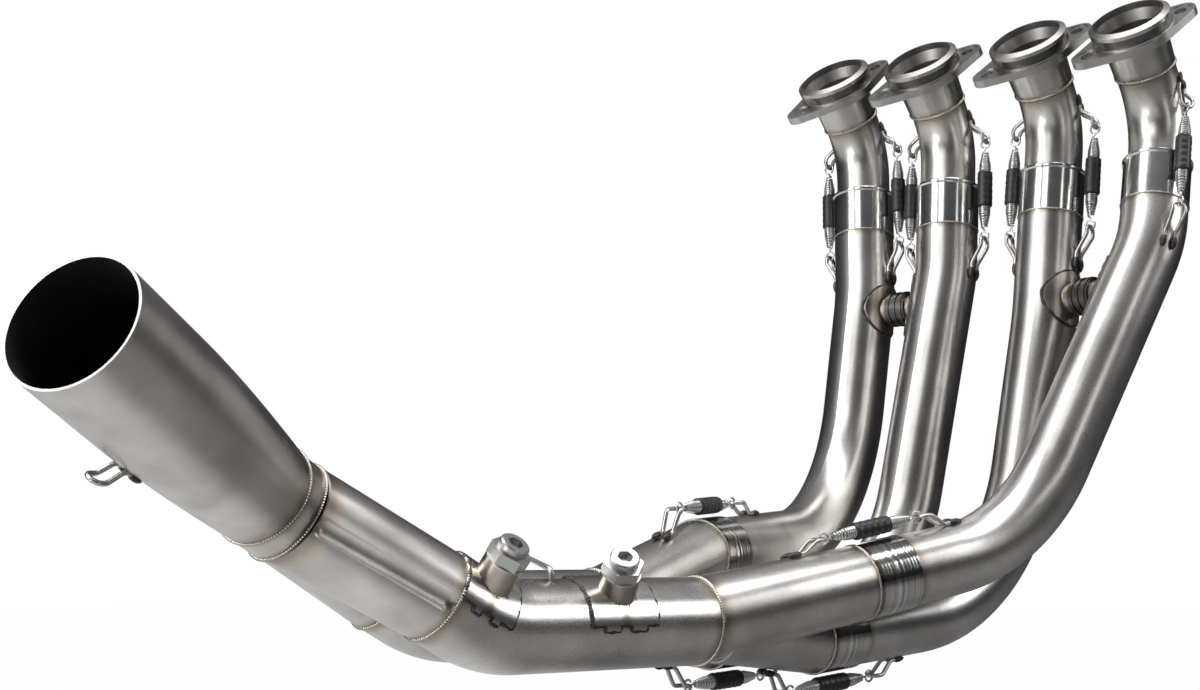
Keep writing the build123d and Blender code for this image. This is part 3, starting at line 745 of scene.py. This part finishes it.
upper_insertion = 0.022
upper_bend = 0.055
knee_drop = {1: 0.121, 2: 0.108, 3: 0.148, 4: 0.097}
knee_bend = {1: 0.150, 2: 0.110, 3: 0.150, 4: 0.115}
elbow_bend = {1: 0.115, 2: 0.112, 3: 0.112, 4: 0.120}
collector_skin = 0.0229
collector_flare = 0.0024
flare_length = 0.045
branch_marks = 30
dark_weld = titanium("dark_weld", (0.075, 0.068, 0.062), roughness=0.45, grain=0.2)
upper_line = {}
lower_line = {}
for k in mouth:
    upper_end = joint[k] + drop[k] * upper_insertion
    upper_line[k] = line_of([stub_foot[k], corner[k], upper_end], [upper_bend])
    knee = corner[k] + drop[k] * knee_drop[k]
    lower_line[k] = line_of(
        [joint[k] + drop[k] * sleeve_length, knee, elbow[k], inlet[k]],
        [knee_bend[k], elbow_bend[k]],
    )
feet = bmesh.new()
for k in mouth:
    mesh = bmesh.new()
    for middle, radial in joint_springs(k):
        top = middle - drop[k] * spring_half_span
        bottom = middle + drop[k] * spring_half_span
        hook(mesh, feet, top, -drop[k], radial, upper_line[k], upper_radius, upper_hook_reach)
        hook(mesh, feet, bottom, drop[k], radial, lower_line[k], primary_radius)
    radial = lower_radial(k)
    tip = inlet[k] - into[k] * (lower_spring_back + spring_half_span) + radial * lower_spring_offset
    hook(mesh, feet, tip, -into[k], radial, lower_line[k], primary_radius, lower_hook_reach)
    piece(f"wire_hooks_{k}", mesh, rod, [f"spring_hooks_{k}"])
for name, pair in pairs.items():
    mesh = bmesh.new()
    for k in pair:
        radial = lower_radial(k)
        tip = inlet[k] + into[k] * (spring_half_span - lower_spring_back) + radial * lower_spring_offset
        branch = [inlet[k].lerp(start[name], part / branch_marks) for part in range(branch_marks + 1)]
        share = min(1.0, flare_length / (start[name] - inlet[k]).length)
        skin = collector_skin + collector_flare * share
        hook(mesh, feet, tip, into[k], radial, branch, skin, lower_hook_reach)
    piece(f"wire_collector_hooks_{name}", mesh, rod, [f"collector_hooks_{name}"])

# Silencer hooks: two loops near the outlet's mouth, one below the cone and one above it
# on the far side, that lean out and take the silencer's springs.
below_cone = Vector((-0.4991706, 0.4391752, -0.746963))
above_cone = Vector((0.3096059, 0.3211939, 0.8949741))
cone_radius = 0.0325
silencer_hook_along = 0.0975
silencer_hook_out = 0.0462
silencer_hook_reach = 0.021
silencer_hook_half = 0.0046
lean_back = 0.9
lean_in = 0.43
cone_line = [ring_end + out_dir * (0.001 * part) for part in range(171)]
mesh = bmesh.new()
for radial in (below_cone, above_cone):
    tip = ring_end + out_dir * silencer_hook_along + radial * silencer_hook_out
    leaning = (-out_dir * lean_back - radial * lean_in).normalized()
    size = (silencer_hook_reach, silencer_hook_half)
    hook(mesh, feet, tip, leaning, radial, cone_line, cone_radius, *size)
piece("silencer_hooks", mesh, rod, ["outlet_hooks"])
piece("hook_feet", feet, dark_weld)

# Springs: close-wound wire with tapered ends and a round hook at each end, stretched
# between the rod hooks, so that they draw each slip joint together.
wire_radius = 0.0007
coil_half = 0.019
coil_radius = 0.0036
coil_turns = 12.5
taper_length = 0.010
taper_turns = 5
taper_in = 0.0019
eye_radius = 0.0034
eye_inset = 0.001215
eye_turn = 330
shank_start = 0.0046
coil_marks = 400
taper_marks = 80
eye_marks = 24
spring_wire = titanium("spring_wire", (0.60, 0.60, 0.60), roughness=0.22, grain=0.05)


def wound(mesh, middle, axis, radial):
    cross = axis.cross(radial)
    first = middle - axis * spring_half_span
    last = middle + axis * spring_half_span
    axis = (last - first).normalized()
    middle = (first + last) * 0.5
    over = cross.cross(axis).normalized()
    coil = []
    for number in range(coil_marks + 1):
        share = number / coil_marks * 2 - 1
        coil.append((share * coil_half, coil_radius, share * coil_turns * math.tau))
    taper = []
    for number in range(1, taper_marks + 1):
        share = number / taper_marks
        turn = (coil_turns + taper_turns * share) * math.tau
        taper.append((coil_half + taper_length * share, coil_radius - taper_in * share, turn))
    whole = [(-a, r, -t) for a, r, t in reversed(taper)] + coil + taper
    points = [middle + axis * a + (over * math.cos(t) + cross * math.sin(t)) * r for a, r, t in whole]
    eyes = []
    for end, inward in ((first, axis), (last, -axis)):
        centre = end + inward * eye_inset
        loop = []
        for number in range(eye_marks + 1):
            turn = math.radians(eye_turn - eye_turn * number / eye_marks)
            loop.append(centre + (inward * math.cos(turn) + over * math.sin(turn)) * eye_radius)
        loop.append(centre + inward * shank_start)
        eyes.append(loop)
    strand(mesh, eyes[0] + points + list(reversed(eyes[1])), wire_radius, sides=6)


for k in mouth:
    mesh = bmesh.new()
    for middle, radial in joint_springs(k):
        wound(mesh, middle, drop[k], radial)
    piece(f"wound_springs_{k}", mesh, spring_wire, [f"joint_springs_{k}"])
for name, pair in pairs.items():
    mesh = bmesh.new()
    for k in pair:
        radial = lower_radial(k)
        middle = inlet[k] - into[k] * lower_spring_back + radial * lower_spring_offset
        wound(mesh, middle, into[k], radial)
    piece(f"wound_collector_springs_{name}", mesh, spring_wire, [f"collector_springs_{name}"])

# Rubber sleeves: short lengths of black hose pushed over the springs to stop them
# ringing, with rounded ends and a surface that takes up the coils a little.
sleeve_half = 0.0134
sleeve_end_radius = 0.0046
sleeve_swell = 0.0008
sleeve_ripple = 0.00012
sleeve_marks = 27
round_from = 0.9
rubber = bpy.data.materials.new("black_rubber")
rubber.use_nodes = True
surface = rubber.node_tree.nodes["Principled BSDF"]
surface.inputs["Base Color"].default_value = (0.018, 0.018, 0.019, 1)
surface.inputs["Roughness"].default_value = 0.42


def rubber_sleeve(mesh, middle, axis):
    marks = []
    sizes = []
    for part in range(2 * sleeve_marks + 1):
        share = part / sleeve_marks - 1
        marks.append(middle + axis * (share * sleeve_half))
        edge = math.sqrt(max(0.0, 1 - max(0.0, (abs(share) - round_from) / (1 - round_from)) ** 2))
        sizes.append(sleeve_end_radius + sleeve_swell * edge + sleeve_ripple * math.sin(share * 17))
    strand(mesh, marks, sizes, sides=20)


mesh = bmesh.new()
for k in mouth:
    for middle, radial in joint_springs(k):
        rubber_sleeve(mesh, middle, drop[k])
for pair in pairs.values():
    for k in pair:
        middle = inlet[k] - into[k] * lower_spring_back + lower_radial(k) * lower_spring_offset
        rubber_sleeve(mesh, middle, into[k])
piece("rubber_sleeves", mesh, rubber, ["spring_dampers"])

# Weld beads: one ring of small overlapping ripples at each joint of two tubes, lightly
# browned. Each has the radius of its tube and the size of its bead. The beads at the
# stubs stand proud, the others are nearly flush.
stub_bead = (0.0201, 0.0013)
slip_bead = (0.0222, 0.0007)
lower_bead = (0.0225, 0.0006)
inlet_bead = (0.0229, 0.0008)
secondary_bead = (0.02535, 0.001)
ring_bead = (0.0276, 0.001)
clear_of_sleeve = 0.0002
ripple_height = 0.16
weld = titanium("weld_bead", (0.47, 0.43, 0.38), roughness=0.26, grain=0.1)


def bead(mesh, points, size, ripple=0.0016):
    length = sum((points[i] - points[i - 1]).length for i in range(len(points)))
    count = max(24, int(length / ripple) * 4)
    marks = []
    total = 0.0
    number = 0
    for a, b in zip(points, points[1:] + points[:1]):
        gap = (b - a).length
        while number < count and number * length / count <= total + gap:
            marks.append(a.lerp(b, (number * length / count - total) / gap))
            number += 1
        total += gap
    sizes = [size * (1 + ripple_height * math.sin(math.tau * i / 4)) for i in range(len(marks))]
    strand(mesh, marks, sizes, closed=True)


def round_cut(centre, axis, normal, radius, steps=96):
    across = axis.orthogonal().normalized()
    other = axis.cross(across)
    points = []
    for number in range(steps):
        turn = math.tau * number / steps
        reach = (across * math.cos(turn) + other * math.sin(turn)) * radius
        points.append(centre + reach - axis * (reach.dot(normal) / axis.dot(normal)))
    return points


def weld_round(mesh, centre, axis, normal, radius, size):
    bead(mesh, round_cut(centre, axis, normal, radius), size)


mesh = bmesh.new()
for k in mouth:
    sleeve_foot = joint[k] + drop[k] * (sleeve_length + clear_of_sleeve)
    lower_top = inlet[k] - into[k] * (lower_sleeve + clear_of_sleeve)
    weld_round(mesh, stub_foot[k], in_port, in_port, *stub_bead)
    weld_round(mesh, sleeve_foot, drop[k], drop[k], *slip_bead)
    weld_round(mesh, lower_top, into[k], into[k], *lower_bead)
    weld_round(mesh, inlet[k], into[k], into[k], *inlet_bead)
piece("pipe_welds", mesh, weld)
mesh = bmesh.new()
for name in pairs:
    weld_round(mesh, start[name], run_dir, run_dir, *secondary_bead)
    weld_round(mesh, tail[name], climb, climb, *secondary_bead)
weld_round(mesh, gather, climb, mitre_in, *ring_bead)
weld_round(mesh, ring_end, ring_dir, mitre_out, *ring_bead)
piece("tube_welds", mesh, weld)

# Saddle outlines: the dark, uneven seam weld that follows the edge of each crossover
# saddle and of each toothed sensor saddle, down on the skin of its tube.
same_place = 0.000002
sharp_turn = 0.6
down_on_tube = -0.8
skin_tolerance = 0.0008
shortest_seam = 0.002
crossover_seam = 0.0013
boss_seam = 0.0015
near_bend = 0.070


def sharp_lines(node, wanted):
    mesh = bmesh.new()
    mesh.from_mesh(nodes[node].data)
    bmesh.ops.remove_doubles(mesh, verts=mesh.verts, dist=same_place)
    links = {}
    for edge in mesh.edges:
        if len(edge.link_faces) != 2:
            continue
        one, two = edge.link_faces
        if one.normal.angle(two.normal, 0) < sharp_turn:
            continue
        a, b = edge.verts
        if wanted((a.co + b.co) * 0.5, one, two):
            links.setdefault(a.index, []).append(b.index)
            links.setdefault(b.index, []).append(a.index)
    mesh.verts.ensure_lookup_table()
    lines = []
    used = set()
    for begin in sorted(links, key=lambda v: len(links[v])):
        for after in links[begin]:
            if (begin, after) in used:
                continue
            line = [begin]
            here, there = begin, after
            while (here, there) not in used:
                used.add((here, there))
                used.add((there, here))
                line.append(there)
                onward = [v for v in links[there] if (there, v) not in used]
                if len(links[there]) != 2 or not onward:
                    break
                here, there = there, onward[0]
            if len(line) > 1:
                lines.append([mesh.verts[v].co.copy() for v in line])
    mesh.free()
    return lines


def edge_on_tube(line, tube):
    def wanted(middle, one, two):
        near = min(line, key=lambda c: (c - middle).length)
        away = (middle - near).normalized()
        faces_tube = min(one.normal.dot(away), two.normal.dot(away)) < down_on_tube
        return faces_tube and abs((middle - near).length - tube) < skin_tolerance
    return wanted


def rippled(mesh, line, size, ripple=0.0018):
    length = sum((b - a).length for a, b in zip(line, line[1:]))
    if length < shortest_seam:
        return
    count = max(4, int(length / ripple * 4))
    marks = []
    for number in range(count + 1):
        want = length * number / count
        total = 0.0
        for a, b in zip(line, line[1:]):
            gap = (b - a).length
            if total + gap >= want - 1e-9 and gap > 0:
                marks.append(a.lerp(b, (want - total) / gap))
                break
            total += gap
    sizes = []
    for number in range(len(marks)):
        waver = 0.1 * math.sin(math.tau * number / 4) + 0.15 * math.sin(number * 0.37)
        sizes.append(size * (1 + waver))
    strand(mesh, marks, sizes, sides=7)


mesh = bmesh.new()
for k in mouth:
    on_primary = edge_on_tube(lower_line[k], primary_radius)
    for line in sharp_lines(f"crossover_saddle_{k}", on_primary):
        rippled(mesh, line, crossover_seam)
piece("crossover_welds", mesh, dark_weld)
mesh = bmesh.new()
near_line = line_of([start["near"], bend["near"], tail["near"]], [near_bend])
on_secondary = edge_on_tube(near_line, secondary_radius)
for name in boss_place:
    for line in sharp_lines(f"lambda_saddle_{name}", on_secondary):
        rippled(mesh, line, boss_seam)
piece("saddle_welds", mesh, dark_weld)
